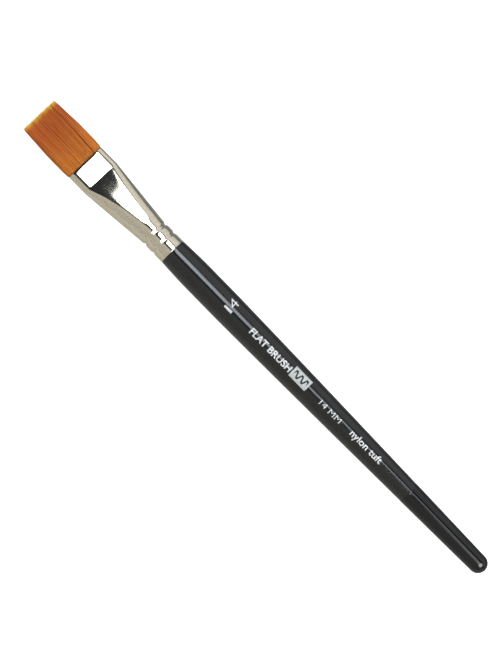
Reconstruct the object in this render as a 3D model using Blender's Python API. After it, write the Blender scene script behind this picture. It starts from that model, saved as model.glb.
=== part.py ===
"""A flat artist's paint brush, size 14: a turned wooden handle with a dipped end, a metal ferrule that is
crimped round the handle and pressed flat at its mouth, and a tuft of synthetic filaments glued into it.

The brush lies along X on the belly of its handle, with the tuft at +X and its flat sides facing up and
down. The origin is on the table, under the middle of the brush. All sizes are in metres.
"""

import math

import bmesh
import bpy

# The whole brush
HANDLE_LENGTH = 0.1452  # the ferrule's rear edge to the handle's rounded end
FERRULE_LENGTH = 0.0406
TUFT_LENGTH = 0.0220  # the ferrule's mouth to the filaments' tips
GAP = 0.0003  # left between pieces that touch on the real brush

# Handle, with distances measured back from the ferrule's rear edge
NECK_DIAMETER = 0.0098  # the handle's shoulder, flush with the outside of the ferrule's neck
BELLY_SWELL = 0.00037  # how much larger the belly's radius is than the shoulder's
BELLY_START = 0.0124
BELLY_LENGTH = 0.0115  # straight, and a facet wide enough for the brush to lie still on
END_DIAMETER = 0.0064
TAPER_POWER = 1.2  # above 1, the taper behind the belly starts gently
DIP_LENGTH = 0.0356  # the end that is dipped once more in gloss lacquer
DIP_WALL = 0.0004
DIP_PROUD = 0.00004
TENON_LENGTH = 0.0131
TENON_CHAMFER = 0.0008

# Ferrule, with distances measured back from its mouth
FERRULE_WALL = 0.00035
MOUTH_WIDTH = 0.0142
MOUTH_THICKNESS = 0.0042
PRESS_LENGTH = 0.0072  # the flat that the press leaves behind the mouth
NECK_LENGTH = 0.0094  # the round neck, at the rear
PRESS_WIDTH_POWER = 1.2
PRESS_THICKNESS_POWER = 2.4
CRIMPS = ((0.0080, 0.00045, 0.0028), (0.0041, 0.00030, 0.0024))  # from the rear edge: place, depth, width

# Inside the ferrule, with distances measured back from its mouth
ROOT_LENGTH = 0.0140
THREAD_PLACE = 0.0108
THREAD_TURNS = 4
THREAD_DIAMETER = 0.0005
RESIN_LENGTH = 0.0036
GLUE_THICKNESS = 0.0012  # in front of the tenon's nose

# Tuft, with distances measured ahead of the ferrule's mouth
TUFT_FLARE = 0.00032  # how far the filaments spread past each side of the mouth
TIP_NARROWING = 0.00085
NARROWING_START = 0.0080
TUFT_THICKNESS = 0.0037
TIP_THICKNESS = 0.0009
FLARE_LENGTH = 0.0026
SWELL_LENGTH = 0.0040
THINNING_POWER = 1.5
HINGE_AHEAD = 0.0009  # where the free filaments start to bend
LOCKS = 5

ROUND_SIDES = 18
FERRULE_SIDES = 32
LEAST_STEP = 0.0002  # the least distance between two sections of the ferrule

NECK_RADIUS = NECK_DIAMETER / 2
BELLY_RADIUS = NECK_RADIUS + BELLY_SWELL
END_RADIUS = END_DIAMETER / 2
AXIS_HEIGHT = BELLY_RADIUS * math.cos(math.pi / ROUND_SIDES)

X_TIP = (HANDLE_LENGTH + FERRULE_LENGTH + TUFT_LENGTH) / 2
X_MOUTH = X_TIP - TUFT_LENGTH
X_REAR = X_MOUTH - FERRULE_LENGTH
X_HINGE = X_MOUTH + HINGE_AHEAD

CORE_HALF_WIDTH = (MOUTH_WIDTH - MOUTH_THICKNESS) / 2  # the flat part of the mouth
HINGE_RADIUS = MOUTH_THICKNESS / 2 - FERRULE_WALL - GAP  # the rounded base that a lock turns on
LOCK_PITCH = 2 * CORE_HALF_WIDTH / (LOCKS - 5 / 3)  # the outer locks end in the mouth's round sides
ROOT_START = HINGE_RADIUS - HINGE_AHEAD + GAP


def steps(start, end, count, power=1.0):
    """count + 1 values from start to end, closer together at the start where power is above 1."""
    return [start + (end - start) * (k / count) ** power for k in range(count + 1)]


def arc(centre, radius, first_deg, last_deg, count):
    """(station, radius) points along an arc about a point on the axis, from one angle to another."""
    angles = [math.radians(a) for a in steps(first_deg, last_deg, count)]
    return [(centre + radius * math.cos(a), radius * math.sin(a)) for a in angles]


def handle_radius(back):
    """The handle's outer radius at a distance behind the ferrule, up to the start of its rounded end."""
    if back < BELLY_START:
        return NECK_RADIUS + BELLY_SWELL * math.sin(math.pi / 2 * back / BELLY_START)
    taper_start = BELLY_START + BELLY_LENGTH
    taper = max(back - taper_start, 0) / (HANDLE_LENGTH - END_RADIUS - taper_start)
    return BELLY_RADIUS - (BELLY_RADIUS - END_RADIUS) * taper**TAPER_POWER


def crimp_depth(from_rear):
    """How far a rolled crimp sinks the ferrule's wall at a distance from its rear edge."""
    depth = 0.0
    for place, deepest, width in CRIMPS:
        off = abs(from_rear - place) / (width / 2)
        if off < 1:
            depth += deepest * (1 + math.cos(math.pi * off)) / 2
    return depth


def ferrule_section(back):
    """Half the ferrule's outer width and thickness at a distance back from its mouth."""
    cone_length = FERRULE_LENGTH - NECK_LENGTH - PRESS_LENGTH
    left = 1 - min(max((back - PRESS_LENGTH) / cone_length, 0), 1)
    half_width = NECK_RADIUS + (MOUTH_WIDTH / 2 - NECK_RADIUS) * left**PRESS_WIDTH_POWER
    half_thickness = NECK_RADIUS + (MOUTH_THICKNESS / 2 - NECK_RADIUS) * left**PRESS_THICKNESS_POWER
    sink = crimp_depth(FERRULE_LENGTH - back)
    return half_width - sink, half_thickness - sink


def ferrule_stations():
    """Distances back from the mouth at which the ferrule's shape changes."""
    neck_start = FERRULE_LENGTH - NECK_LENGTH
    stations = [0.0] + steps(PRESS_LENGTH, neck_start, 8, power=1.4)
    for place, _, width in CRIMPS:
        stations += steps(FERRULE_LENGTH - place - width / 2, FERRULE_LENGTH - place + width / 2, 4)
    spaced = [FERRULE_LENGTH]
    for back in sorted(stations, reverse=True):
        if spaced[-1] - back > LEAST_STEP:
            spaced.append(back)
    return spaced[::-1]


def tuft_half_width(ahead):
    inner = MOUTH_WIDTH / 2 - FERRULE_WALL - GAP
    widest = MOUTH_WIDTH / 2 + TUFT_FLARE
    flare = min(max((ahead - HINGE_AHEAD) / (FLARE_LENGTH - HINGE_AHEAD), 0), 1)
    narrowing = max(ahead - NARROWING_START, 0) / (TUFT_LENGTH - NARROWING_START)
    return inner + (widest - inner) * math.sin(math.pi / 2 * flare) - TIP_NARROWING * narrowing**3


def tuft_half_thickness(ahead):
    swell = min(max((ahead - HINGE_AHEAD) / (SWELL_LENGTH - HINGE_AHEAD), 0), 1)
    thinning = max(ahead - SWELL_LENGTH, 0) / (TUFT_LENGTH - SWELL_LENGTH)
    full = HINGE_RADIUS + (TUFT_THICKNESS / 2 - HINGE_RADIUS) * math.sin(math.pi / 2 * swell)
    return full - (TUFT_THICKNESS - TIP_THICKNESS) / 2 * thinning**THINNING_POWER


def make_material(name, colour, roughness, metallic=0.0):
    material = bpy.data.materials.new(name)
    material.use_nodes = True
    shader = material.node_tree.nodes["Principled BSDF"]
    shader.inputs["Base Color"].default_value = (*colour, 1.0)
    shader.inputs["Roughness"].default_value = roughness
    shader.inputs["Metallic"].default_value = metallic
    return material


def add_piece(name, bm, material, x=0.0):
    """Makes a named object from a bmesh whose own origin is on the brush's axis at station x."""
    bmesh.ops.recalc_face_normals(bm, faces=bm.faces)
    mesh = bpy.data.meshes.new(name)
    bm.to_mesh(mesh)
    bm.free()
    mesh.materials.append(material)
    mesh.shade_smooth()
    mesh.set_sharp_from_angle(angle=math.radians(30))
    piece = bpy.data.objects.new(name, mesh)
    bpy.context.scene.collection.objects.link(piece)
    piece.parent = bpy.data.objects["brush_axis"]
    piece.location.x = x
    return piece


def turned(outline):
    """A solid of revolution about X, from (station, radius) points that run from the axis to the axis.
    Its facets lie flat above and below, as a lathe-turned handle's would not, so that it rests still."""
    bm = bmesh.new()
    tilt = math.pi / ROUND_SIDES
    points = [bm.verts.new((x, r * math.sin(tilt), r * math.cos(tilt))) for x, r in outline]
    edges = [bm.edges.new(pair) for pair in zip(points, points[1:])]
    bmesh.ops.spin(
        bm,
        geom=points + edges,
        cent=(0, 0, 0),
        axis=(1, 0, 0),
        angle=2 * math.pi,
        steps=ROUND_SIDES,
        use_merge=True,
    )
    bmesh.ops.remove_doubles(bm, verts=bm.verts, dist=1e-7)
    return bm


def lofted(loops, hollow=False):
    """A solid through closed loops with the same number of points. A hollow one joins its last loop to
    its first, and the others get a flat cap at each end."""
    bm = bmesh.new()
    rings = [[bm.verts.new(point) for point in loop] for loop in loops]
    following = rings[1:] + rings[:1] if hollow else rings[1:]
    for ring, after in zip(rings, following):
        for k in range(len(ring)):
            bm.faces.new((ring[k - 1], ring[k], after[k], after[k - 1]))
    if not hollow:
        bm.faces.new(rings[0])
        bm.faces.new(rings[-1])
    return bm


def stadium(x, half_width, half_thickness):
    """A closed loop at station x: a flat-sided oval, which is a regular polygon where it is round."""
    flat = half_width - half_thickness
    loop = []
    for k in range(FERRULE_SIDES):
        angle = 2 * math.pi * (k + 0.5) / FERRULE_SIDES
        y = half_thickness * math.cos(angle)
        loop.append((x, y + math.copysign(flat, y), half_thickness * math.sin(angle)))
    return loop


def ferrule_loop(back, inset=0.0):
    """The ferrule's section at a distance back from its mouth, drawn in by inset."""
    half_width, half_thickness = ferrule_section(back)
    return stadium(X_MOUTH - back, half_width - inset, half_thickness - inset)


def add_handle(lacquered_wood):
    """The wooden core: a tenon inside the ferrule, the shoulder, the belly and the long taper. Its dipped
    end is thinner by the coat that covers it."""
    tenon = [s for s in ferrule_stations() if s > FERRULE_LENGTH - TENON_LENGTH + TENON_CHAMFER]
    nose = FERRULE_LENGTH - TENON_LENGTH
    inset = FERRULE_WALL + GAP
    nose_radius = ferrule_section(nose)[1] - inset
    outline = [(X_MOUTH - nose, 0.0), (X_MOUTH - nose, nose_radius - TENON_CHAMFER)]
    for back in [nose + TENON_CHAMFER] + tenon:
        outline.append((X_MOUTH - back, ferrule_section(back)[1] - inset))
    shoulder_x = X_REAR - GAP
    outline[-1] = (shoulder_x, outline[-1][1])
    dip_start = HANDLE_LENGTH - DIP_LENGTH
    grip = steps(GAP, BELLY_START, 5) + steps(BELLY_START + BELLY_LENGTH, dip_start - GAP, 10)
    outline += [(X_REAR - back, handle_radius(back)) for back in grip]
    thinner = DIP_WALL + GAP
    dome_start = HANDLE_LENGTH - END_RADIUS
    dipped = steps(dip_start - GAP, dome_start, 4)
    outline += [(X_REAR - back, handle_radius(back) - thinner) for back in dipped]
    outline += arc(X_REAR - dome_start, END_RADIUS - thinner, 90, 180, 4)[1:]
    add_piece("handle", turned(outline), lacquered_wood)


def add_dipped_end(gloss_lacquer):
    """The thick coat of gloss lacquer that the handle's end is dipped in, a closed cap over the wood."""
    dip_start = HANDLE_LENGTH - DIP_LENGTH
    dome_start = HANDLE_LENGTH - END_RADIUS
    stations = steps(dip_start, dome_start, 4)
    outer = [(X_REAR - back, handle_radius(back) + DIP_PROUD) for back in stations]
    outer += arc(X_REAR - dome_start, END_RADIUS + DIP_PROUD, 90, 180, 5)[1:]
    inner = [(X_REAR - back, handle_radius(back) - DIP_WALL) for back in stations]
    inner += arc(X_REAR - dome_start, END_RADIUS - DIP_WALL, 90, 180, 4)[1:]
    add_piece("dipped_end", turned(outer[::-1] + inner), gloss_lacquer)


def add_ferrule(plated_metal):
    """A thin tube, open at both ends: round at the neck, with two rolled crimps, and flat at the mouth."""
    stations = ferrule_stations()
    outside = [ferrule_loop(back) for back in stations]
    inside = [ferrule_loop(back, FERRULE_WALL) for back in reversed(stations)]
    add_piece("ferrule", lofted(outside + inside, hollow=True), plated_metal)


def add_bristle_roots(filament):
    """The filaments' held ends, with a waist where the thread binds them."""
    skin = FERRULE_WALL + GAP
    waist = skin + THREAD_DIAMETER + GAP
    thread_width = THREAD_TURNS * THREAD_DIAMETER
    waist_start, waist_end = THREAD_PLACE - GAP, THREAD_PLACE + thread_width + GAP
    loops = [ferrule_loop(back, skin) for back in steps(ROOT_START, PRESS_LENGTH, 1)]
    loops += [ferrule_loop(waist_start, skin), ferrule_loop(waist_start, waist)]
    loops += [ferrule_loop(waist_end, waist), ferrule_loop(waist_end, skin)]
    loops.append(ferrule_loop(ROOT_LENGTH, skin))
    add_piece("bristle_roots", lofted(loops), filament)


def add_binding_thread(cotton):
    """The thread that ties the filaments into a bundle, its turns side by side round the waist."""
    skin = FERRULE_WALL + GAP
    places = steps(THREAD_PLACE, THREAD_PLACE + THREAD_TURNS * THREAD_DIAMETER, 2 * THREAD_TURNS)
    outside = []
    for k, back in enumerate(places):
        valley = THREAD_DIAMETER / 3 if k % 2 == 0 else 0.0
        outside.append(ferrule_loop(back, skin + valley))
    inside = [ferrule_loop(back, skin + THREAD_DIAMETER) for back in (places[-1], places[0])]
    add_piece("binding_thread", lofted(outside + inside, hollow=True), cotton)


def add_plug(name, start, end, material):
    """Set resin or glue that fills the ferrule from one distance behind its mouth to another."""
    skin = FERRULE_WALL + GAP
    loops = [ferrule_loop(back, skin) for back in steps(start, end, 2)]
    add_piece(name, lofted(loops), material)


def lock_outline(outer_side, round_deg):
    """One slice of a lock, as a closed loop round its side view, relative to the hinge. A slice of 0
    degrees is as thick as the tuft, and one near 90 degrees is the tuft's rounded edge."""
    across, thin = math.sin(math.radians(round_deg)), math.cos(math.radians(round_deg))
    ahead = steps(HINGE_AHEAD, SWELL_LENGTH, 3) + steps(SWELL_LENGTH, TUFT_LENGTH, 6)[1:]
    top = []
    for a in ahead:
        y = CORE_HALF_WIDTH + (tuft_half_width(a) - CORE_HALF_WIDTH) * across
        top.append((a - HINGE_AHEAD, outer_side * y, tuft_half_thickness(a) * thin))
    bottom = [(x, y, -z) for x, y, z in reversed(top)]
    base_angles = [math.radians(a) for a in steps(270, 90, 8)[1:-1]]
    base = [(math.cos(a), math.sin(a)) for a in base_angles]
    radius = HINGE_RADIUS * thin
    return top + bottom + [(radius * c, top[0][1], radius * s) for c, s in base]


def add_lock(number, low, high, filament):
    """A lock of free filaments between two places across the tuft, turning on its rounded base."""
    flat = lock_outline(1, 0)
    side = math.copysign(1, low + high)
    at = [low, high] if side > 0 else [high, low]
    loops = [[(x, at[0], z) for x, _, z in flat]]
    if abs(at[1]) > CORE_HALF_WIDTH:
        loops += [lock_outline(side, angle) for angle in (0, 30, 55, 75)]
    else:
        loops.append([(x, at[1], z) for x, _, z in flat])
    add_piece(f"bristle_lock_{number}", lofted(loops), filament, x=X_HINGE)


def build():
    for old in list(bpy.data.objects):
        bpy.data.objects.remove(old)
    axis = bpy.data.objects.new("brush_axis", None)
    bpy.context.scene.collection.objects.link(axis)
    axis.location.z = AXIS_HEIGHT

    filament = make_material("golden nylon filament", (0.45, 0.13, 0.025), 0.42)
    add_handle(make_material("black lacquered birch", (0.022, 0.022, 0.024), 0.28))
    add_dipped_end(make_material("black gloss lacquer", (0.014, 0.014, 0.015), 0.12))
    add_ferrule(make_material("nickel-plated brass", (0.62, 0.58, 0.50), 0.16, metallic=1.0))
    add_bristle_roots(filament)
    add_binding_thread(make_material("waxed cotton thread", (0.74, 0.68, 0.55), 0.8))
    resin_start = ROOT_LENGTH + GAP
    resin = make_material("set epoxy resin", (0.50, 0.30, 0.10), 0.25)
    add_plug("root_resin", resin_start, resin_start + RESIN_LENGTH, resin)
    glue_end = FERRULE_LENGTH - TENON_LENGTH - GAP
    glue = make_material("set wood glue", (0.72, 0.62, 0.40), 0.4)
    add_plug("tenon_glue", glue_end - GLUE_THICKNESS, glue_end, glue)

    cuts = [(k - LOCKS / 2) * LOCK_PITCH for k in range(LOCKS + 1)]
    for k, (low, high) in enumerate(zip(cuts, cuts[1:])):
        add_lock(k + 1, low + GAP / 2, high - GAP / 2, filament)


build()
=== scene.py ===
"""The looks of a flat artist's paint brush, size 14, lying on a pale table under soft studio light."""

import math

import bmesh
import bpy
import numpy as np
from mathutils import Matrix, Vector, noise


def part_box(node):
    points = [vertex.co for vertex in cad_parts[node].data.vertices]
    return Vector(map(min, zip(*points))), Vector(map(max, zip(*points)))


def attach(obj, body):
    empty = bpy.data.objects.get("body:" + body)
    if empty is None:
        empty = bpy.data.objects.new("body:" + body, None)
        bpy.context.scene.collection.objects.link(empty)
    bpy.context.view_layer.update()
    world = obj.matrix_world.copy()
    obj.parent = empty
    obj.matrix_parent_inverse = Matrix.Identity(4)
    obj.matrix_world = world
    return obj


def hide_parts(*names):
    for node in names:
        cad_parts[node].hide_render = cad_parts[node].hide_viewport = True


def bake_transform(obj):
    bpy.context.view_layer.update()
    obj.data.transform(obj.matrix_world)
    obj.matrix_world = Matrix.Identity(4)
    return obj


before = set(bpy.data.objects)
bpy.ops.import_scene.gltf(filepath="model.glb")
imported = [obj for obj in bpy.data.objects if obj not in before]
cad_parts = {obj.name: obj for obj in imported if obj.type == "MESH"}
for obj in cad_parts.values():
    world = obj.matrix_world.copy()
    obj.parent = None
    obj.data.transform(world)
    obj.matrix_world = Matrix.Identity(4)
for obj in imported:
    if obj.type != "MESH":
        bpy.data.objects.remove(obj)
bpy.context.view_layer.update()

# ---- Handle ----
# A birch stick turned to a slim shoulder, a belly and a long taper with a rounded end. It is sprayed with
# several coats of black lacquer, and its tenon is glued into the ferrule.
ferrule_low, ferrule_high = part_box("ferrule")
dip_low, dip_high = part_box("dipped_end")
AXIS_HEIGHT = (ferrule_low.z + ferrule_high.z) / 2
REAR = ferrule_low.x  # the ferrule's rear edge, where the lacquered handle starts
MOUTH = ferrule_high.x
TENON_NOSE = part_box("handle")[1].x
HANDLE_END = dip_low.x
HANDLE_LENGTH = REAR - HANDLE_END
NECK_RADIUS = 0.0049
BELLY_RADIUS = 0.00527
BELLY_START = 0.0124
BELLY_LENGTH = 0.0115
TAPER_POWER = 1.2
END_RADIUS = 0.0032
ROUND_START = HANDLE_LENGTH - END_RADIUS
TENON_RADIUS = 0.00425
TENON_CHAMFER = 0.0008
SHOULDER_ROUND = 0.00015
JOINT_GAP = 0.00008
DIP_START = REAR - dip_high.x
DIP_PROUD = 0.00005  # how far the dipped coat stands past the handle's outline
HANDLE_SIDES = 128
SHOULDER_STEPS = 4
GRIP_STEPS = 60
DIP_STEPS = 15
END_STEPS = 16


def handle_radius(back):
    """The lacquered handle's radius at a distance behind the ferrule's rear edge."""
    if back < BELLY_START:
        return NECK_RADIUS + (BELLY_RADIUS - NECK_RADIUS) * math.sin(math.pi / 2 * back / BELLY_START)
    straight_end = BELLY_START + BELLY_LENGTH
    if back < ROUND_START:
        taper = max(back - straight_end, 0) / (ROUND_START - straight_end)
        return BELLY_RADIUS - (BELLY_RADIUS - END_RADIUS) * taper**TAPER_POWER
    return math.sqrt(max(END_RADIUS**2 - (back - ROUND_START) ** 2, 0))


def rounded_end(radius):
    """The outline of the handle's round end, from its widest point to its tip."""
    turns = [math.pi / 2 * k / END_STEPS for k in range(END_STEPS + 1)]
    return [(HANDLE_END + END_RADIUS - radius * math.sin(turn), radius * math.cos(turn)) for turn in turns]


def turned(profile, sides):
    """A shape turned about the brush's axis from (station, radius) points, as a bmesh."""
    bm = bmesh.new()
    points = [bm.verts.new((x, 0, radius)) for x, radius in profile]
    edges = [bm.edges.new(pair) for pair in zip(points, points[1:])]
    bmesh.ops.spin(
        bm, geom=points + edges, cent=(0, 0, 0), axis=(1, 0, 0), angle=math.tau, steps=sides, use_merge=True
    )
    bmesh.ops.remove_doubles(bm, verts=bm.verts, dist=1e-7)
    bmesh.ops.recalc_face_normals(bm, faces=bm.faces)
    bmesh.ops.translate(bm, verts=bm.verts, vec=(0, 0, AXIS_HEIGHT))
    return bm


def as_piece(bm, name, material, sharp_deg=30):
    """Turns a bmesh into an object with smooth faces and sharp corners."""
    mesh = bpy.data.meshes.new(name)
    bm.to_mesh(mesh)
    bm.free()
    mesh.shade_smooth()
    mesh.set_sharp_from_angle(angle=math.radians(sharp_deg))
    mesh.materials.append(material)
    piece = bpy.data.objects.new(name, mesh)
    bpy.context.scene.collection.objects.link(piece)
    return piece


def linear(hex_colour):
    """An sRGB hex colour as linear red, green, blue and alpha."""
    channels = [int(hex_colour[k : k + 2], 16) / 255 for k in (1, 3, 5)]
    return [c / 12.92 if c <= 0.04045 else ((c + 0.055) / 1.055) ** 2.4 for c in channels] + [1.0]


def add_node(tree, kind, values=None, links=None, stops=None, **settings):
    """Adds a shader node with its settings, its sockets' values and links, and a ramp's stops."""
    made = tree.nodes.new(kind)
    for name, setting in settings.items():
        setattr(made, name, setting)
    for socket, value in (values or {}).items():
        made.inputs[socket].default_value = value
    for socket, output in (links or {}).items():
        tree.links.new(output, made.inputs[socket])
    if stops:
        ramp = made.color_ramp
        while len(ramp.elements) < len(stops):
            ramp.elements.new(0.5)
        for element, (place, colour) in zip(ramp.elements, stops):
            element.position = place
            element.color = colour if len(colour) == 4 else [*colour, 1.0]
    return made


# Sprayed nitrocellulose lacquer, black and glossy: a dielectric film with a faint orange peel about 1.5 mm
# across, and fine dust nibs that the last coat left.
lacquer = bpy.data.materials.new("sprayed_black_lacquer")
lacquer.use_nodes = True
tree = lacquer.node_tree
shader = tree.nodes["Principled BSDF"]
shader.inputs["IOR"].default_value = 1.5
place = add_node(tree, "ShaderNodeTexCoord").outputs["Object"]
peel = add_node(tree, "ShaderNodeTexNoise", {"Scale": 650, "Detail": 2, "Roughness": 0.5}, {"Vector": place})
nibs = add_node(tree, "ShaderNodeTexNoise", {"Scale": 3200, "Detail": 1}, {"Vector": place})
black = add_node(
    tree,
    "ShaderNodeValToRGB",
    links={"Fac": peel.outputs["Fac"]},
    stops=[(0.35, linear("#131415")), (0.65, linear("#1A1A19"))],
)
gloss = add_node(
    tree,
    "ShaderNodeMapRange",
    {"From Min": 0.35, "From Max": 0.7, "To Min": 0.10, "To Max": 0.17},
    {"Value": nibs.outputs["Fac"]},
)
wave = add_node(
    tree, "ShaderNodeBump", {"Strength": 0.25, "Distance": 0.00001}, {"Height": peel.outputs["Fac"]}
)
skin = add_node(
    tree,
    "ShaderNodeBump",
    {"Strength": 0.2, "Distance": 0.000004},
    {"Height": nibs.outputs["Fac"], "Normal": wave.outputs["Normal"]},
)
tree.links.new(black.outputs["Color"], shader.inputs["Base Color"])
tree.links.new(gloss.outputs["Result"], shader.inputs["Roughness"])
tree.links.new(skin.outputs["Normal"], shader.inputs["Normal"])

# The outline runs from the tenon's nose over the shoulder and down the grip. Under the dipped coat it is
# a little thinner, to leave the coat its place.
profile = [(TENON_NOSE, 0.0), (TENON_NOSE, TENON_RADIUS - TENON_CHAMFER)]
profile += [(TENON_NOSE - TENON_CHAMFER, TENON_RADIUS), (REAR - JOINT_GAP, TENON_RADIUS)]
for k in range(SHOULDER_STEPS + 1):
    turn = math.pi / 2 * k / SHOULDER_STEPS
    back = JOINT_GAP + SHOULDER_ROUND * (1 - math.cos(turn))
    profile.append((REAR - back, handle_radius(back) - SHOULDER_ROUND * (1 - math.sin(turn))))
grip_start = JOINT_GAP + SHOULDER_ROUND
for k in range(1, GRIP_STEPS + 1):
    back = grip_start + (DIP_START - grip_start) * k / GRIP_STEPS
    profile.append((REAR - back, handle_radius(back)))
for k in range(DIP_STEPS + 1):
    back = DIP_START + (ROUND_START - DIP_START) * k / DIP_STEPS
    profile.append((REAR - back, handle_radius(back) - DIP_PROUD))
profile += rounded_end(END_RADIUS - DIP_PROUD)[1:]
handle = as_piece(turned(profile, HANDLE_SIDES), "lacquered_handle", lacquer)
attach(handle, "brush_body")
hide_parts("handle")

# ---- Dipped end ----
# The last 36 mm of the handle, hung and dipped once more in a thick gloss lacquer. The coat is a few
# hundredths of a millimetre proud and ends in a soft bead where the level of the bath stood.
COAT_SINK = 0.00003  # how far its inner face lies under the handle's outline
BEAD_LENGTH = 0.0006
BEAD_PROUD = 0.00006
BEAD_STEPS = 8
COAT_STEPS = 30

# The same lacquer flowed out in a bath: no orange peel from the spray, so it is glossier, and the thicker
# film is a deeper black.
dip_lacquer = lacquer.copy()
dip_lacquer.name = "dipped_gloss_lacquer"
dip_lacquer.node_tree.nodes["Principled BSDF"].inputs["Specular IOR Level"].default_value = 0.4
dip_ramp = next(n for n in dip_lacquer.node_tree.nodes if n.type == "VALTORGB").color_ramp
dip_ramp.elements[0].color = linear("#0E0F10")
dip_ramp.elements[1].color = linear("#121213")
dip_gloss = next(n for n in dip_lacquer.node_tree.nodes if n.type == "MAP_RANGE")
dip_gloss.inputs["To Min"].default_value = 0.05
dip_gloss.inputs["To Max"].default_value = 0.09

# The outline runs up the inner face from the tip, over the bead and back down the outer face.
coat = rounded_end(END_RADIUS - COAT_SINK)[::-1]
for k in range(1, DIP_STEPS + 1):
    back = ROUND_START - (ROUND_START - DIP_START) * k / DIP_STEPS
    coat.append((REAR - back, handle_radius(back) - COAT_SINK))
for k in range(BEAD_STEPS + 1):
    along = k / BEAD_STEPS
    back = DIP_START + BEAD_LENGTH * along
    swell = DIP_PROUD * math.sin(math.pi / 2 * along) + BEAD_PROUD * math.sin(math.pi * along) * (1 - along)
    coat.append((REAR - back, handle_radius(back) + swell))
bead_end = DIP_START + BEAD_LENGTH
for k in range(1, COAT_STEPS + 1):
    back = bead_end + (ROUND_START - bead_end) * k / COAT_STEPS
    coat.append((REAR - back, handle_radius(back) + DIP_PROUD))
coat += rounded_end(END_RADIUS + DIP_PROUD)[1:]
dipped_end = as_piece(turned(coat, HANDLE_SIDES), "dipped_coat", dip_lacquer)
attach(dipped_end, "brush_body")
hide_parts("dipped_end")

# ---- Printed marks ----
# The size, a name and short notes, pad printed in pale grey ink along the top of the handle. The film of
# ink is about ten microns thick, and each letter lies wrapped on the lacquer.
INK_THICKNESS = 0.000012
CUT_PITCH = 0.00018  # a flat letter is cut this often across its width, so that it can bend
CUTS = 14  # to either side of its middle

# Matt two-part printing ink, opaque, with the fine mottle that the pad leaves.
ink = bpy.data.materials.new("pad_printed_ink")
ink.use_nodes = True
tree = ink.node_tree
shader = tree.nodes["Principled BSDF"]
shader.inputs["Roughness"].default_value = 0.45
place = add_node(tree, "ShaderNodeTexCoord").outputs["Object"]
mottle = add_node(tree, "ShaderNodeTexNoise", {"Scale": 4000, "Detail": 2}, {"Vector": place})
shade = add_node(
    tree,
    "ShaderNodeValToRGB",
    links={"Fac": mottle.outputs["Fac"]},
    stops=[(0.3, linear("#D8DADB")), (0.6, linear("#F4F5F4"))],
)
tree.links.new(shade.outputs["Color"], shader.inputs["Base Color"])


def wrapped(bm, station, turn_deg, lift=0.0, across_handle=False):
    """Wraps a flat drawing round the handle, turned from straight up towards -Y. Its X runs to the handle's
    end, or across the handle where that is asked."""
    normal = Vector((1, 0, 0)) if across_handle else Vector((0, 1, 0))
    for k in range(-CUTS, CUTS + 1):
        cut = normal * CUT_PITCH * k
        geometry = bm.verts[:] + bm.edges[:] + bm.faces[:]
        bmesh.ops.bisect_plane(bm, geom=geometry, dist=1e-7, plane_co=cut, plane_no=normal)
    for vertex in bm.verts:
        along, across = (vertex.co.y, vertex.co.x) if across_handle else (-vertex.co.x, vertex.co.y)
        x = station + along
        radius = handle_radius(REAR - x)
        angle = math.radians(turn_deg) + across / radius
        radius += lift + INK_THICKNESS + vertex.co.z
        vertex.co = (x, -radius * math.sin(angle), AXIS_HEIGHT + radius * math.cos(angle))
    bmesh.ops.recalc_face_normals(bm, faces=bm.faces)
    return bm


def lettering(words, size, width, weight=0.0):
    """Flat letters of a size, drawn to a total width, as a bmesh."""
    text = bpy.data.curves.new("letters", "FONT")
    text.body = words
    text.size = size
    text.extrude = INK_THICKNESS / 2
    text.offset = weight
    text.resolution_u = 4
    text.align_x = "CENTER"
    text.align_y = "CENTER"
    holder = bpy.data.objects.new("letters", text)
    bpy.context.scene.collection.objects.link(holder)
    bpy.context.view_layer.update()
    mesh = bpy.data.meshes.new_from_object(holder.evaluated_get(bpy.context.evaluated_depsgraph_get()))
    bpy.data.objects.remove(holder)
    bm = bmesh.new()
    bm.from_mesh(mesh)
    bpy.data.meshes.remove(mesh)
    bmesh.ops.remove_doubles(bm, verts=bm.verts, dist=1e-7)
    xs = [v.co.x for v in bm.verts]
    ys = [v.co.y for v in bm.verts]
    bmesh.ops.translate(bm, verts=bm.verts, vec=(-(max(xs) + min(xs)) / 2, -(max(ys) + min(ys)) / 2, 0))
    bmesh.ops.scale(bm, verts=bm.verts, vec=(width / (max(xs) - min(xs)), 1, 1))
    return bm


# The size stands across the handle, one figure on each side of its top, and the words run along it.
FIGURE_SIZE = 0.0049
FIGURE_WEIGHT = -0.00004
FIGURE_STATION = 0.0152
marks = []
for name, words, width, turn_deg in (("mark_size_1", "1", 0.0008, -14), ("mark_size_4", "4", 0.0028, 15)):
    figure = lettering(words, FIGURE_SIZE, width, FIGURE_WEIGHT)
    marks.append(as_piece(wrapped(figure, FIGURE_STATION, turn_deg, across_handle=True), name, ink))
for name, words, size, width, weight, station, turn_deg in (
    ("mark_name", "FLAT BRUSH", 0.0032, 0.0182, 0.00008, -0.0039, -7),
    ("mark_width", "14 MM", 0.0027, 0.0092, -0.00001, -0.0317, -9),
    ("mark_hair", "nylon tuft", 0.0032, 0.0138, 0.00006, -0.0480, -9),
):
    letters = lettering(words, size, width, weight)
    marks.append(as_piece(wrapped(letters, station, turn_deg), name, ink))

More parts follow.
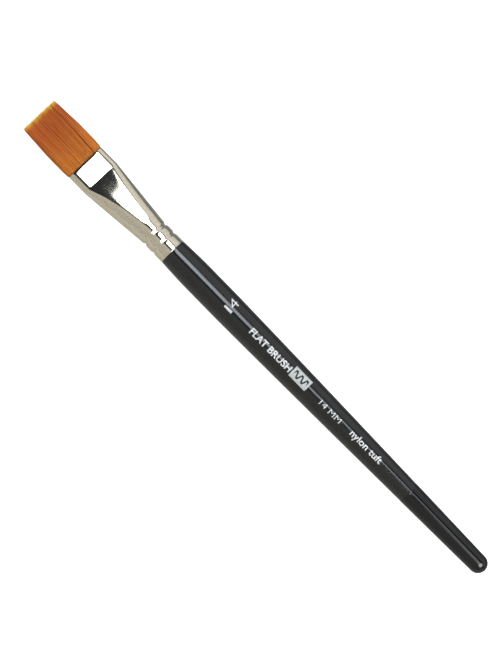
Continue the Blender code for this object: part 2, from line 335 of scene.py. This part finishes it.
# A printed block with a bold wavy stroke on it, like a swatch of paint.
BLOCK_STATION = -0.0173
BLOCK_TURN = -1
BLOCK_LENGTH = 0.0074
BLOCK_WIDTH = 0.0042
STROKE_LENGTH = 0.0058
STROKE_WAVES = 2.5
STROKE_RISE = 0.0009
STROKE_HALF_WIDTH = 0.00031
STROKE_THICKNESS = 0.8 * INK_THICKNESS
STROKE_LIFT = 1.2 * INK_THICKNESS
STROKE_STEPS = 60
bm = bmesh.new()
bmesh.ops.create_cube(bm, size=1)
bmesh.ops.scale(bm, verts=bm.verts, vec=(BLOCK_LENGTH, BLOCK_WIDTH, INK_THICKNESS))
block_ink = ink.copy()
block_ink.name = "pad_printed_silver_ink"
block_ramp = next(n for n in block_ink.node_tree.nodes if n.type == "VALTORGB").color_ramp
block_ramp.elements[0].color = linear("#BFC1C1")
block_ramp.elements[1].color = linear("#D4D6D5")
marks.append(as_piece(wrapped(bm, BLOCK_STATION, BLOCK_TURN), "mark_block", block_ink))

stroke_ink = bpy.data.materials.new("black_stroke_ink")
stroke_ink.use_nodes = True
shader = stroke_ink.node_tree.nodes["Principled BSDF"]
shader.inputs["Base Color"].default_value = linear("#141515")
shader.inputs["Roughness"].default_value = 0.4

# Both edges of the stroke keep the same distance from its wavy middle, measured square to it.
STEEPEST = STROKE_RISE * math.tau * STROKE_WAVES / STROKE_LENGTH
bm = bmesh.new()
row = [bm.verts.new((STROKE_LENGTH * (k / STROKE_STEPS - 0.5), 0, 0)) for k in range(STROKE_STEPS + 1)]
edges = [bm.edges.new(pair) for pair in zip(row, row[1:])]
grown = bmesh.ops.extrude_edge_only(bm, edges=edges)
top = [g for g in grown["geom"] if isinstance(g, bmesh.types.BMVert)]
for vertices, side in ((row, -1), (top, 1)):
    for vertex in vertices:
        phase = math.tau * STROKE_WAVES * (vertex.co.x / STROKE_LENGTH + 0.5)
        half_height = STROKE_HALF_WIDTH * math.hypot(1, STEEPEST * math.cos(phase))
        vertex.co.y = STROKE_RISE * math.sin(phase) + side * half_height
bmesh.ops.solidify(bm, geom=bm.faces[:], thickness=STROKE_THICKNESS)
marks.append(as_piece(wrapped(bm, BLOCK_STATION, BLOCK_TURN, STROKE_LIFT), "mark_stroke", stroke_ink))
for mark in marks:
    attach(mark, "brush_body")

# ---- Ferrule ----
# A seamless brass tube, 0.35 mm thick and nickel plated. Its neck stays round for the handle, two rolled
# crimps hold the tenon, and the mouth is pressed flat round the hair.
FERRULE_LENGTH = MOUTH - REAR
WALL = 0.00035
PRESS_LENGTH = 0.0072
NECK_LENGTH = 0.0094
MOUTH_HALF_WIDTH = 0.0073
MOUTH_HALF_THICKNESS = 0.0021
THINNING_POWER = 2.4
FLAT_ONSET = 0.2  # the first part of the cone, over which the round top turns flat
CRIMPS = ((0.0080, 0.00050, 0.0019), (0.0041, 0.00036, 0.0017))  # from the rear edge: place, depth, width
LIP_LENGTH = 0.0011  # the cut edge of the mouth, rolled in against the hair
LIP_SINK = 0.00022
LIP_SIDE_SHARE = 0.3  # the sides roll in by this part of what the flats do
RIM_ROUND = 0.0001
FERRULE_SIDES = 192
FERRULE_STATIONS = 180
DENSE_LENGTH = 0.001  # the last millimetre has closer stations, for the lip
DENSE_STATIONS = 16
FLAT_SPREAD = math.radians(30)  # each side of the top and bottom, the part of the tube pressed to a flat
EDGE_TILT = math.radians(12.5)  # how far the flats curl down where they meet the round sides
CURL_POWER = 6

# Bright nickel plate on drawn brass: slightly warm, with a faint bloom, lines along the tube from the
# drawing die, drawn coarse enough to show, and a pebbled skin too shallow to feel.
nickel = bpy.data.materials.new("nickel_plated_brass")
nickel.use_nodes = True
tree = nickel.node_tree
shader = tree.nodes["Principled BSDF"]
shader.inputs["Metallic"].default_value = 1.0
place = add_node(tree, "ShaderNodeTexCoord").outputs["Object"]
lengthwise = add_node(tree, "ShaderNodeMapping", {"Scale": (0.06, 1, 1)}, {"Vector": place})
draw_lines = add_node(
    tree, "ShaderNodeTexNoise", {"Scale": 5000, "Detail": 3}, {"Vector": lengthwise.outputs["Vector"]}
)
bloom = add_node(
    tree, "ShaderNodeTexNoise", {"Scale": 2400, "Detail": 4, "Roughness": 0.7}, {"Vector": place}
)
plate = add_node(
    tree,
    "ShaderNodeValToRGB",
    links={"Fac": bloom.outputs["Fac"]},
    stops=[(0.36, linear("#C4BCA8")), (0.62, linear("#E0D9C8"))],
)
polish = add_node(
    tree,
    "ShaderNodeMapRange",
    {"From Min": 0.3, "From Max": 0.7, "To Min": 0.06, "To Max": 0.11},
    {"Value": draw_lines.outputs["Fac"]},
)
grain = add_node(tree, "ShaderNodeTexNoise", {"Scale": 3000, "Detail": 1}, {"Vector": place})
pebble = add_node(
    tree, "ShaderNodeBump", {"Strength": 1.0, "Distance": 0.000006}, {"Height": grain.outputs["Fac"]}
)
lines = add_node(
    tree,
    "ShaderNodeBump",
    {"Strength": 0.15, "Distance": 0.000004},
    {"Height": draw_lines.outputs["Fac"], "Normal": pebble.outputs["Normal"]},
)
tree.links.new(plate.outputs["Color"], shader.inputs["Base Color"])
tree.links.new(polish.outputs["Result"], shader.inputs["Roughness"])
tree.links.new(lines.outputs["Normal"], shader.inputs["Normal"])


def smooth(value):
    """0 below 0 and 1 above 1, with a soft step between."""
    value = min(max(value, 0), 1)
    return value * value * (3 - 2 * value)


def ferrule_section(back):
    """Half the width and thickness, and how flat the top is pressed, at a distance behind the mouth."""
    cone = FERRULE_LENGTH - NECK_LENGTH - PRESS_LENGTH
    left = 1 - min(max((back - PRESS_LENGTH) / cone, 0), 1)
    half_width = NECK_RADIUS + (MOUTH_HALF_WIDTH - NECK_RADIUS) * left
    half_thickness = NECK_RADIUS + (MOUTH_HALF_THICKNESS - NECK_RADIUS) * left**THINNING_POWER
    from_rear = FERRULE_LENGTH - back
    lip = LIP_SINK * max(1 - back / LIP_LENGTH, 0) ** 2
    sink = 0
    for middle, deepest, width in CRIMPS:
        off = min(abs(from_rear - middle) / (width / 2), 1)
        sink += deepest * (1 + math.cos(math.pi * off)) / 2
    return half_width - sink - lip * LIP_SIDE_SHARE, half_thickness - sink - lip, smooth(left / FLAT_ONSET)


# A plain tube is given its sections. Where it is pressed, each section is a nearly flat top and bottom that
# curl down towards round sides and meet them at one slope.
long_part = FERRULE_LENGTH - DENSE_LENGTH
stations = [REAR + long_part * k / FERRULE_STATIONS for k in range(FERRULE_STATIONS)]
stations += [MOUTH - DENSE_LENGTH + DENSE_LENGTH * k / DENSE_STATIONS for k in range(DENSE_STATIONS + 1)]
curl = math.tan(EDGE_TILT) / CURL_POWER
bm = turned([(x, 1.0) for x in stations], FERRULE_SIDES)
for vertex in bm.verts:
    half_width, half_thickness, pressed = ferrule_section(MOUTH - vertex.co.x)
    y, z = vertex.co.y, vertex.co.z - AXIS_HEIGHT
    from_top = math.atan2(y, abs(z))
    round_tube = Vector((half_width * math.sin(from_top), half_thickness * math.cos(from_top)))
    on_flat = min(max(from_top / FLAT_SPREAD, -1), 1)
    past = max(abs(from_top) - FLAT_SPREAD, 0) / (math.pi / 2 - FLAT_SPREAD)
    angle = EDGE_TILT + (math.pi / 2 - EDGE_TILT) * past
    side_radius = half_thickness - half_width * curl
    side_radius /= math.cos(EDGE_TILT) - (1 - math.sin(EDGE_TILT)) * curl
    crown = (half_thickness - side_radius * math.cos(EDGE_TILT)) * (1 - abs(on_flat) ** CURL_POWER)
    across = on_flat * (half_width - side_radius * (1 - math.sin(angle)))
    flattened = Vector((across, side_radius * math.cos(angle) + crown))
    placed = round_tube.lerp(flattened, pressed)
    vertex.co.y = placed.x
    vertex.co.z = AXIS_HEIGHT + math.copysign(placed.y, z)
bmesh.ops.recalc_face_normals(bm, faces=bm.faces)
ferrule = as_piece(bm, "nickel_ferrule", nickel)
wall = ferrule.modifiers.new("wall", "SOLIDIFY")
wall.thickness = WALL
wall.offset = -1
rims = ferrule.modifiers.new("rims", "BEVEL")
rims.width = RIM_ROUND
rims.segments = 3
rims.limit_method = "ANGLE"
rims.angle_limit = math.radians(60)
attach(ferrule, "brush_body")
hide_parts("ferrule")

# ---- Held ends, thread, resin and glue ----
# Inside the ferrule the filaments' ends are tied with cotton thread and set in epoxy, and the tenon is
# glued. None of it shows from outside.
GRAIN_RELIEF = 0.00005

# Each is mottled between two colours. The pattern is drawn out along the filaments and round the windings.
# Cotton is matt, fibre ends and glue are satin, and cast resin is glossy.
roots = bpy.data.materials.new("packed_nylon_ends")
thread = bpy.data.materials.new("twisted_cotton_thread")
resin = bpy.data.materials.new("cast_amber_epoxy")
glue = bpy.data.materials.new("dried_wood_glue")
for material, dark, pale, scale, rough in (
    (roots, "#7E4A1E", "#A0622B", (60, 4000, 4000), 0.5),
    (thread, "#CFC8B4", "#E4DECD", (5000, 900, 900), 0.9),
    (resin, "#8A5B21", "#A87430", (300, 300, 300), 0.15),
    (glue, "#C9A35A", "#D8B670", (500, 500, 500), 0.35),
):
    material.use_nodes = True
    tree = material.node_tree
    shader = tree.nodes["Principled BSDF"]
    shader.inputs["Roughness"].default_value = rough
    place = add_node(tree, "ShaderNodeTexCoord").outputs["Object"]
    drawn = add_node(tree, "ShaderNodeMapping", {"Scale": scale}, {"Vector": place})
    grain = add_node(
        tree, "ShaderNodeTexNoise", {"Scale": 1, "Detail": 3}, {"Vector": drawn.outputs["Vector"]}
    )
    shade = add_node(
        tree,
        "ShaderNodeValToRGB",
        links={"Fac": grain.outputs["Fac"]},
        stops=[(0.35, linear(dark)), (0.65, linear(pale))],
    )
    relief = add_node(
        tree, "ShaderNodeBump", {"Strength": 0.5, "Distance": GRAIN_RELIEF}, {"Height": grain.outputs["Fac"]}
    )
    tree.links.new(shade.outputs["Color"], shader.inputs["Base Color"])
    tree.links.new(relief.outputs["Normal"], shader.inputs["Normal"])
for node_name, material in (
    ("bristle_roots", roots),
    ("binding_thread", thread),
    ("root_resin", resin),
    ("tenon_glue", glue),
):
    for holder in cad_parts[node_name].material_slots:
        holder.material = material

# ---- Hair ----
# About two thousand six hundred tapered nylon filaments, dyed reddish brown with golden tips, in five locks
# that bend apart. The near-white cream at the very ends is painted light, as if shining through the thin
# tips.
# The tips gather into small points, by turns long and short: the long points are painted paler, as painted
# light, and the short ones darker, as painted shade in the gaps between them. The outer lock stands a little
# apart, and the filaments at its parting are painted darker, as painted shade in the parting's groove.
TUFT_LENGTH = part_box("bristle_lock_3")[1].x - MOUTH
ROOT_DEPTH = 0.0006
STRANDS = 520  # in each lock
STRAND_RADIUS = 0.000095  # a little thicker than real ones, so that single filaments show
STRAND_POINTS = (0.0, 0.06, 0.16, 0.32, 0.5, 0.68, 0.82, 0.92, 0.96, 0.985, 1.0)
MOUTH_CUTS = (-1.0, -0.565, -0.215, 0.215, 0.62, 1.0)  # where the locks part, as parts of half the width
TIP_CUTS = (-1.0, -0.76, -0.24, 0.22, 0.64, 1.0)
TIP_SPREAD = 0.97  # the tips' part of the tuft's width
TIP_REACH = 0.0003  # how far the longest filaments pass the tuft's nominal length
CLUMPS = 39
CLUMP_HALF_SPAN = 0.0068
CLUMP_STEP_BACK = 0.0006  # every other point is this much shorter
CLUMP_PAINTED_LIGHT_AND_SHADE = (0.5, -0.3)  # painted light on the long points and painted shade on the short ones, added to the hair's tone
DYE_REACH = 0.035  # the dye climbs up to this much further in one pair of points than in another
GATHER_START = 0.87
GATHER_SHARE = 0.8
GATHER_FLATTEN = 0.4
SHORT_SHARE = 0.08  # the part of the filaments that are clearly shorter than the rest
WANDER = 0.00018
BUNDLES = 34  # how fast hair changes between pale and dark over half the tuft's width
FINE_BUNDLES = 90
FINE_SHARE = 0.6
BUNDLE_CONTRAST = 0.7
MEAN_TONE = 0.55
TONE_SCATTER = 0.2
PARTING_WIDTH = 0.035  # the outer lock's parting, as a part of half the width
PARTING_SINK = 0.15
CORNER_START = 0.8
CORNER_ROUND = 0.8
MOUTH_CLEARANCE = 0.00005
FLARE = 0.00052  # freed from the mouth, the hair spreads by this much to each side
FLARE_LENGTH = 0.0012
NARROWING = 0.00048
NARROWING_START = 0.008
SWELL = 0.0003  # and by this much up and down
SWELL_LENGTH = 0.0015
THINNING = 0.0014
THINNING_START = 0.004

# Extruded nylon, tapered and dyed, duller than bare nylon. The dye turns golden towards the tips, and the
# near-white cream at the very ends is painted light, as if shining through the thin tips. Each filament has
# its own shade, and its tone also carries painted shade at the parting and between the points, and painted
# light on the long points.
filament = bpy.data.materials.new("dyed_nylon_filament")
filament.use_nodes = True
tree = filament.node_tree
shader = tree.nodes["Principled BSDF"]
shader.inputs["Roughness"].default_value = 0.5
shader.inputs["IOR"].default_value = 1.53
shader.inputs["Specular IOR Level"].default_value = 0.2
run = add_node(tree, "ShaderNodeAttribute", attribute_name="run")
tone = add_node(tree, "ShaderNodeAttribute", attribute_name="tone")
body = add_node(
    tree,
    "ShaderNodeValToRGB",
    links={"Fac": run.outputs["Fac"]},
    stops=[
        (0.0, linear("#EE963A")),
        (0.3, linear("#E88A36")),
        (0.7, linear("#DA7430")),
        (0.9, linear("#D87230")),
        # golden dye, then a near-white cream at the very ends that is painted light through the thin tips
        (0.945, linear("#FFBE40")),
        (0.975, linear("#FFE868")),
        (1.0, linear("#FFFACC")),
    ],
)
variation = add_node(
    tree,
    "ShaderNodeValToRGB",
    links={"Fac": tone.outputs["Fac"]},
    stops=[(0.0, linear("#8C6C6C")), (0.4, linear("#E8E4E4")), (1.0, linear("#FFFFFF"))],
)
# Inputs 6 and 7 of a colour mix are its two colours, and output 2 is the mixed one.
dyed = add_node(
    tree,
    "ShaderNodeMix",
    {"Factor": 1.0},
    {6: body.outputs["Color"], 7: variation.outputs["Color"]},
    data_type="RGBA",
    blend_type="MULTIPLY",
)
tree.links.new(dyed.outputs[2], shader.inputs["Base Color"])


def tuft_half_width(ahead):
    """Half the tuft's width at a distance ahead of the mouth."""
    inner = MOUTH_HALF_WIDTH - WALL - MOUTH_CLEARANCE
    flare = min(max(ahead / FLARE_LENGTH, 0), 1)
    narrowing = max(ahead - NARROWING_START, 0) / (TUFT_LENGTH - NARROWING_START)
    return inner + FLARE * math.sin(math.pi / 2 * flare) - NARROWING * smooth(narrowing / 0.8)


def tuft_half_thickness(ahead):
    """Half the tuft's thickness at a distance ahead of the mouth."""
    inner = MOUTH_HALF_THICKNESS - WALL / 2 - LIP_SINK
    swell = min(max(ahead / SWELL_LENGTH, 0), 1)
    thinning = max(ahead - THINNING_START, 0) / (TUFT_LENGTH - THINNING_START)
    return inner + SWELL * math.sin(math.pi / 2 * swell) - THINNING * thinning**1.5


def strand_taper(along):
    """A filament's thickness along its length, as a part of the full one. Both ends close to a point."""
    if along in (0.0, 1.0):
        return 0.0
    return min(1.0 - 0.25 * along, 0.35 + 20 * (1 - along))


rng = np.random.default_rng(14)
clumps = np.linspace(-1, 1, CLUMPS) * CLUMP_HALF_SPAN + rng.uniform(-0.00005, 0.00005, CLUMPS)
clump_reach = rng.uniform(-0.0002, 0.0, CLUMPS) - CLUMP_STEP_BACK * (np.arange(CLUMPS) % 2)
clump_dye = rng.uniform(0.0, DYE_REACH, CLUMPS // 2 + 1)
for lock in range(5):
    curve = bpy.data.curves.new("strands", "CURVE")
    curve.dimensions = "3D"
    curve.bevel_depth = STRAND_RADIUS
    curve.bevel_resolution = 0
    runs = []
    tones = []
    for k in range(STRANDS):
        part = rng.uniform(0, 1)
        mouth_place = MOUTH_CUTS[lock] + (MOUTH_CUTS[lock + 1] - MOUTH_CUTS[lock]) * part
        tip_place = TIP_CUTS[lock] + (TIP_CUTS[lock + 1] - TIP_CUTS[lock]) * part
        # Most filaments lie near the tuft's top or bottom face, where they show.
        layer = rng.uniform(-1, 1)
        layer = math.copysign(abs(layer) ** 0.5, layer)
        tip_y = tip_place * TIP_SPREAD * tuft_half_width(TUFT_LENGTH)
        clump = int(np.argmin(abs(clumps - tip_y + rng.normal(0, 0.00006))))
        length = TUFT_LENGTH + TIP_REACH + clump_reach[clump] - abs(rng.normal(0, 0.00015))
        if rng.uniform() < SHORT_SHARE:
            length -= rng.uniform(0.0005, 0.003)
        drift_y, drift_z = rng.normal(0, WANDER, 2)
        # The two faces have different bundles of paler and darker hair, so each looks the noise up elsewhere.
        bundle = noise.noise(Vector((mouth_place * BUNDLES, math.copysign(4, layer), 0)))
        bundle += FINE_SHARE * noise.noise(Vector((mouth_place * FINE_BUNDLES, math.copysign(9, layer), 0)))
        parting = min(abs(mouth_place - MOUTH_CUTS[1]) / PARTING_WIDTH, 1)
        strand_tone = MEAN_TONE + BUNDLE_CONTRAST * bundle + rng.normal(0, TONE_SCATTER)
        # Towards the parting the tone falls to its darkest: painted shade in the parting's groove.
        strand_tone = float(np.clip(strand_tone, 0, 1)) * parting
        spline = curve.splines.new("POLY")
        spline.points.add(len(STRAND_POINTS) - 1)
        for point, along in zip(spline.points, STRAND_POINTS):
            ahead = -ROOT_DEPTH + (length + ROOT_DEPTH) * along
            side_place = mouth_place + (tip_place - mouth_place) * smooth(along)
            half_width = tuft_half_width(max(ahead, 0))
            half_thickness = tuft_half_thickness(max(ahead, 0))
            y = side_place * (half_width - STRAND_RADIUS)
            corner = max(abs(side_place) - CORNER_START, 0) / (1 - CORNER_START)
            z = layer * half_thickness * math.sqrt(1 - CORNER_ROUND * corner**2)
            z *= 1 - PARTING_SINK * (1 - parting)
            gather = smooth((along - GATHER_START) / (1 - GATHER_START)) * GATHER_SHARE
            y += (clumps[clump] - y) * gather + drift_y * along * (1 - gather)
            z *= 1 - GATHER_FLATTEN * gather
            z += drift_z * along * (1 - along)
            point.co = (MOUTH + ahead, y, AXIS_HEIGHT + z, 1)
            point.radius = strand_taper(along)
            # The curve becomes a mesh with four vertices round each point.
            runs += [along * (1 - clump_dye[clump // 2])] * 4
            # Near the tips the long points get painted light and the short ones painted shade.
            tones += [min(max(strand_tone + gather * CLUMP_PAINTED_LIGHT_AND_SHADE[clump % 2], 0), 1)] * 4
    holder = bpy.data.objects.new("strands", curve)
    bpy.context.scene.collection.objects.link(holder)
    bpy.context.view_layer.update()
    mesh = bpy.data.meshes.new_from_object(holder.evaluated_get(bpy.context.evaluated_depsgraph_get()))
    bpy.data.objects.remove(holder)
    mesh.name = f"hair_lock_{lock + 1}"
    mesh.attributes.new("run", "FLOAT", "POINT").data.foreach_set("value", np.clip(runs, 0, 1))
    mesh.attributes.new("tone", "FLOAT", "POINT").data.foreach_set("value", tones)
    bm = bmesh.new()
    bm.from_mesh(mesh)
    bmesh.ops.remove_doubles(bm, verts=bm.verts, dist=1e-7)
    bm.to_mesh(mesh)
    bm.free()
    mesh.shade_smooth()
    mesh.materials.clear()
    mesh.materials.append(filament)
    hair = bpy.data.objects.new(f"hair_lock_{lock + 1}", mesh)
    bpy.context.scene.collection.objects.link(hair)
    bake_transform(hair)
    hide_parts(f"bristle_lock_{lock + 1}")

# ---- Table, light and camera ----
# A plain white table top. One long softbox hangs above, a little to the brush's -Y side, with black cards
# beside and beyond it, and the rest of the room is a pale grey.
# What mirrors see of the table at the brush's -Y side: millimetres from its axis, and a level. The strips
# are painted reflection, and the dark strip is painted shade, which only mirrored rays see.
STRIP_SPAN = 100
TABLE_STRIPS = (
    (-STRIP_SPAN, 0.45),
    (-68, 0.45),
    (-62, 0.02),
    (-38, 0.02),
    (-35, 0.42),
    (-6, 0.4),
)
NEAR_REFLECTED = (0.78, 0.74, 0.66, 1)  # and at its +Y side: a warmer tint, painted reflection that only mirrored rays see
TABLE_FILL = 0.95  # evens the table out to plain white where the camera sees it

# A matt white sheet, with no gloss at all. Mirrored rays see its painted strips and tint instead of its plain
# white.
table_white = bpy.data.materials.new("white_table_top")
table_white.use_nodes = True
tree = table_white.node_tree
shader = tree.nodes["Principled BSDF"]
shader.inputs["Roughness"].default_value = 0.9
shader.inputs["Specular IOR Level"].default_value = 0.0
shader.inputs["Emission Color"].default_value = (1, 1, 1, 1)
ray = add_node(tree, "ShaderNodeLightPath").outputs
place = add_node(tree, "ShaderNodeTexCoord").outputs["Object"]
sides = add_node(tree, "ShaderNodeSeparateXYZ", links={"Vector": place})
far_place = add_node(
    tree,
    "ShaderNodeMapRange",
    {"From Min": -STRIP_SPAN / 1000, "From Max": 0},
    {"Value": sides.outputs["Y"]},
)
far_side = add_node(
    tree,
    "ShaderNodeValToRGB",
    links={"Fac": far_place.outputs[0]},
    stops=[((STRIP_SPAN + mm) / STRIP_SPAN, [level] * 3) for mm, level in TABLE_STRIPS],
)
near_side = add_node(tree, "ShaderNodeMath", {1: 0.0}, {0: sides.outputs["Y"]}, operation="GREATER_THAN")
mirrored = add_node(
    tree,
    "ShaderNodeMix",
    {7: NEAR_REFLECTED},
    {0: near_side.outputs[0], 6: far_side.outputs[0]},
    data_type="RGBA",
)
albedo = add_node(
    tree,
    "ShaderNodeMix",
    {6: (0.8, 0.8, 0.8, 1)},
    {0: ray["Is Glossy Ray"], 7: mirrored.outputs[2]},
    data_type="RGBA",
)
fill = add_node(tree, "ShaderNodeMath", {1: TABLE_FILL}, {0: ray["Is Camera Ray"]}, operation="MULTIPLY")
tree.links.new(albedo.outputs[2], shader.inputs["Base Color"])
tree.links.new(fill.outputs[0], shader.inputs["Emission Strength"])
bm = bmesh.new()
bmesh.ops.create_grid(bm, x_segments=1, y_segments=1, size=2.5)
bmesh.ops.translate(bm, verts=bm.verts, vec=(0, 0, AXIS_HEIGHT - BELLY_RADIUS - DIP_PROUD))
table = as_piece(bm, "table_top", table_white)

# The studio is painted on the world as it is seen from the brush. One angle runs across the brush, from
# straight up towards -Y, and one along it, towards the tuft.
SOFTBOX = 8.5
SOFTBOX_COLOUR = (0.91, 0.99, 1.04)
BOX_TURN_DEG = 12  # the softbox's middle, from straight up towards -Y
BOX_SLANT = 0.8  # how far the softbox's end reaches along for each degree across
BOX_HALF_WIDTH_DEG = 12
BOX_NARROW_DEG = 5.5  # half its width beyond the narrow end, towards the handle
CARD_COLOUR = (0.88, 1.0, 1.2)
LAMP = 11
LAMP_INNER_DEG = 15
LAMP_OUTER_DEG = 25
world = bpy.data.worlds.new("studio")
bpy.context.scene.world = world
world.use_nodes = True
tree = world.node_tree
background = tree.nodes["Background"]
direction = add_node(tree, "ShaderNodeTexCoord").outputs["Generated"]
parts = add_node(tree, "ShaderNodeSeparateXYZ", links={"Vector": direction})
minus_y = add_node(tree, "ShaderNodeMath", {1: -1.0}, {0: parts.outputs["Y"]}, operation="MULTIPLY")
across_angle = add_node(
    tree, "ShaderNodeMath", links={0: minus_y.outputs[0], 1: parts.outputs["Z"]}, operation="ARCTAN2"
)
along_angle = add_node(tree, "ShaderNodeMath", links={0: parts.outputs["X"]}, operation="ARCSINE")
across_place = add_node(
    tree,
    "ShaderNodeMapRange",
    {"From Min": -math.pi, "From Max": math.pi},
    {"Value": across_angle.outputs[0]},
)
along_place = add_node(
    tree,
    "ShaderNodeMapRange",
    {"From Min": -math.pi / 2, "From Max": math.pi / 2},
    {"Value": along_angle.outputs[0]},
)


def across_stops(*pairs):
    """(degrees from straight up towards -Y, level, colour) as stops of a ramp."""
    return [((degrees + 180) / 360, [level * part for part in tint]) for degrees, level, tint in pairs]


def along_stops(*pairs):
    """(degrees towards the tuft, level) as stops of a ramp."""
    return [((degrees + 90) / 180, [level] * 3) for degrees, level in pairs]


WARM = (1.0, 0.98, 0.94)
PLAIN = (1.0, 1.0, 1.005)
room = add_node(
    tree,
    "ShaderNodeValToRGB",
    links={"Fac": across_place.outputs[0]},
    stops=across_stops(
        (-180, 0.5, WARM),
        (-90, 0.62, WARM),
        (-54, 0.62, WARM),
        (-30, 0.68, WARM),
        (-17, 0.66, WARM),
        (-13, 0.06, PLAIN),
        (30, 0.04, PLAIN),
        (33, 1.0, PLAIN),
        (60, 0.95, PLAIN),
        (84, 0.8, PLAIN),
        (87, 0.1, PLAIN),
        (90, 0.4, PLAIN),
        (180, 0.4, PLAIN),
    ),
)
box_half_width = add_node(
    tree,
    "ShaderNodeMapRange",
    {
        "From Min": math.radians(-5),
        "From Max": 0,
        "To Min": math.radians(BOX_NARROW_DEG),
        "To Max": math.radians(BOX_HALF_WIDTH_DEG),
    },
    {"Value": along_angle.outputs[0]},
)
from_box = add_node(
    tree,
    "ShaderNodeMath",
    {1: math.radians(BOX_TURN_DEG)},
    {0: across_angle.outputs[0]},
    operation="SUBTRACT",
)
box_place = add_node(
    tree, "ShaderNodeMath", links={0: from_box.outputs[0], 1: box_half_width.outputs[0]}, operation="DIVIDE"
)
box_off = add_node(tree, "ShaderNodeMath", links={0: box_place.outputs[0]}, operation="ABSOLUTE")
box_across = add_node(
    tree,
    "ShaderNodeMapRange",
    {"From Min": 1.04, "From Max": 0.94},
    {"Value": box_off.outputs[0]},
)
slant = add_node(tree, "ShaderNodeMath", {1: -BOX_SLANT}, {0: from_box.outputs[0]}, operation="MULTIPLY")
slanted = add_node(
    tree, "ShaderNodeMath", links={0: along_angle.outputs[0], 1: slant.outputs[0]}, operation="ADD"
)
slanted_place = add_node(
    tree,
    "ShaderNodeMapRange",
    {"From Min": -math.pi / 2, "From Max": math.pi / 2},
    {"Value": slanted.outputs[0]},
)
box_along = add_node(
    tree,
    "ShaderNodeValToRGB",
    links={"Fac": slanted_place.outputs[0]},
    stops=along_stops((-12, 0), (-9, 0.45), (-4.6, 0.6), (0.4, 0.9), (2, 1), (21.5, 1), (22.5, 0)),
)
card_along = add_node(
    tree,
    "ShaderNodeValToRGB",
    links={"Fac": along_place.outputs[0]},
    stops=[
        (stop, [level * part for level, part in zip(levels, CARD_COLOUR)])
        for stop, levels in along_stops((21.5, 1), (22.5, 0.035), (48, 0.035), (56, 1))
    ],
)
card_across = add_node(
    tree,
    "ShaderNodeValToRGB",
    links={"Fac": across_place.outputs[0]},
    stops=across_stops((-24, 0, PLAIN), (-18, 1, PLAIN), (27, 1, PLAIN), (32, 0, PLAIN)),
)
box = add_node(
    tree, "ShaderNodeMath", links={0: box_across.outputs[0], 1: box_along.outputs[0]}, operation="MULTIPLY"
)
box_light = add_node(
    tree,
    "ShaderNodeVectorMath",
    {0: [SOFTBOX * part for part in SOFTBOX_COLOUR]},
    {3: box.outputs[0]},
    operation="SCALE",
)
carded = add_node(
    tree,
    "ShaderNodeMix",
    {6: (1, 1, 1, 1)},
    {0: card_across.outputs[0], 7: card_along.outputs[0]},
    data_type="RGBA",
)
darker = add_node(
    tree,
    "ShaderNodeVectorMath",
    links={0: carded.outputs[2], 1: room.outputs[0]},
    operation="MINIMUM",
)
room_and_box = add_node(
    tree, "ShaderNodeVectorMath", links={0: darker.outputs[0], 1: box_light.outputs[0]}, operation="ADD"
)

# A small lamp stands beyond the handle's end. It only shows as the spark on the rounded end.
ray = add_node(tree, "ShaderNodeLightPath").outputs
lamp_along, lamp_across = math.radians(-32), math.radians(-4)
lamp_facing = add_node(
    tree,
    "ShaderNodeVectorMath",
    {
        1: (
            math.sin(lamp_along),
            -math.cos(lamp_along) * math.sin(lamp_across),
            math.cos(lamp_along) * math.cos(lamp_across),
        )
    },
    {0: direction},
    operation="DOT_PRODUCT",
)
lamp_disc = add_node(
    tree,
    "ShaderNodeMapRange",
    {
        "From Min": math.cos(math.radians(LAMP_OUTER_DEG)),
        "From Max": math.cos(math.radians(LAMP_INNER_DEG)),
        "To Max": LAMP,
    },
    {"Value": lamp_facing.outputs["Value"]},
)
lamp = add_node(
    tree, "ShaderNodeMath", links={0: lamp_disc.outputs[0], 1: ray["Is Glossy Ray"]}, operation="MULTIPLY"
)
lit = add_node(
    tree, "ShaderNodeVectorMath", links={0: room_and_box.outputs[0], 1: lamp.outputs[0]}, operation="ADD"
)
# The camera itself sees a plain white background.
shown = add_node(
    tree,
    "ShaderNodeMix",
    {7: (1, 1, 1, 1)},
    {0: ray["Is Camera Ray"], 6: lit.outputs[0]},
    data_type="RGBA",
)
tree.links.new(shown.outputs[2], background.inputs["Color"])

# A long lens on a tripod, leaning a little from straight above, with the brush slanting across the frame.
VIEW_LEAN = math.radians(12)  # from straight above towards +Y
LENS = 0.135
FILM_HEIGHT = 0.036
FRAME_HEIGHT = 0.2178  # what the frame's height takes in at the brush
DISTANCE = FRAME_HEIGHT * LENS / FILM_HEIGHT
ACROSS_FRAME = math.radians(45.6)  # how far the handle points below the frame's right
SHIFT_RIGHT = -0.00337  # the frame's middle, from the middle of the brush
SHIFT_UP = 0.00253
to_camera = Vector((0, math.sin(VIEW_LEAN), math.cos(VIEW_LEAN)))
to_end = Vector((-1, 0, 0))
to_side = Vector((0, -math.cos(VIEW_LEAN), math.sin(VIEW_LEAN)))
right = to_end * math.cos(ACROSS_FRAME) + to_side * math.sin(ACROSS_FRAME)
up = to_side * math.cos(ACROSS_FRAME) - to_end * math.sin(ACROSS_FRAME)
target = Vector((0, 0, AXIS_HEIGHT)) + right * SHIFT_RIGHT + up * SHIFT_UP
camera_data = bpy.data.cameras.new("camera")
camera_data.lens = LENS * 1000
camera_data.sensor_width = FILM_HEIGHT * 1000
camera_data.clip_start = 0.01
camera = bpy.data.objects.new("camera", camera_data)
bpy.context.scene.collection.objects.link(camera)
turned_axes = Matrix((right, up, to_camera)).transposed().to_4x4()
camera.matrix_world = Matrix.Translation(target + to_camera * DISTANCE) @ turned_axes
bpy.context.scene.camera = camera
bpy.context.scene.view_settings.view_transform = "Standard"
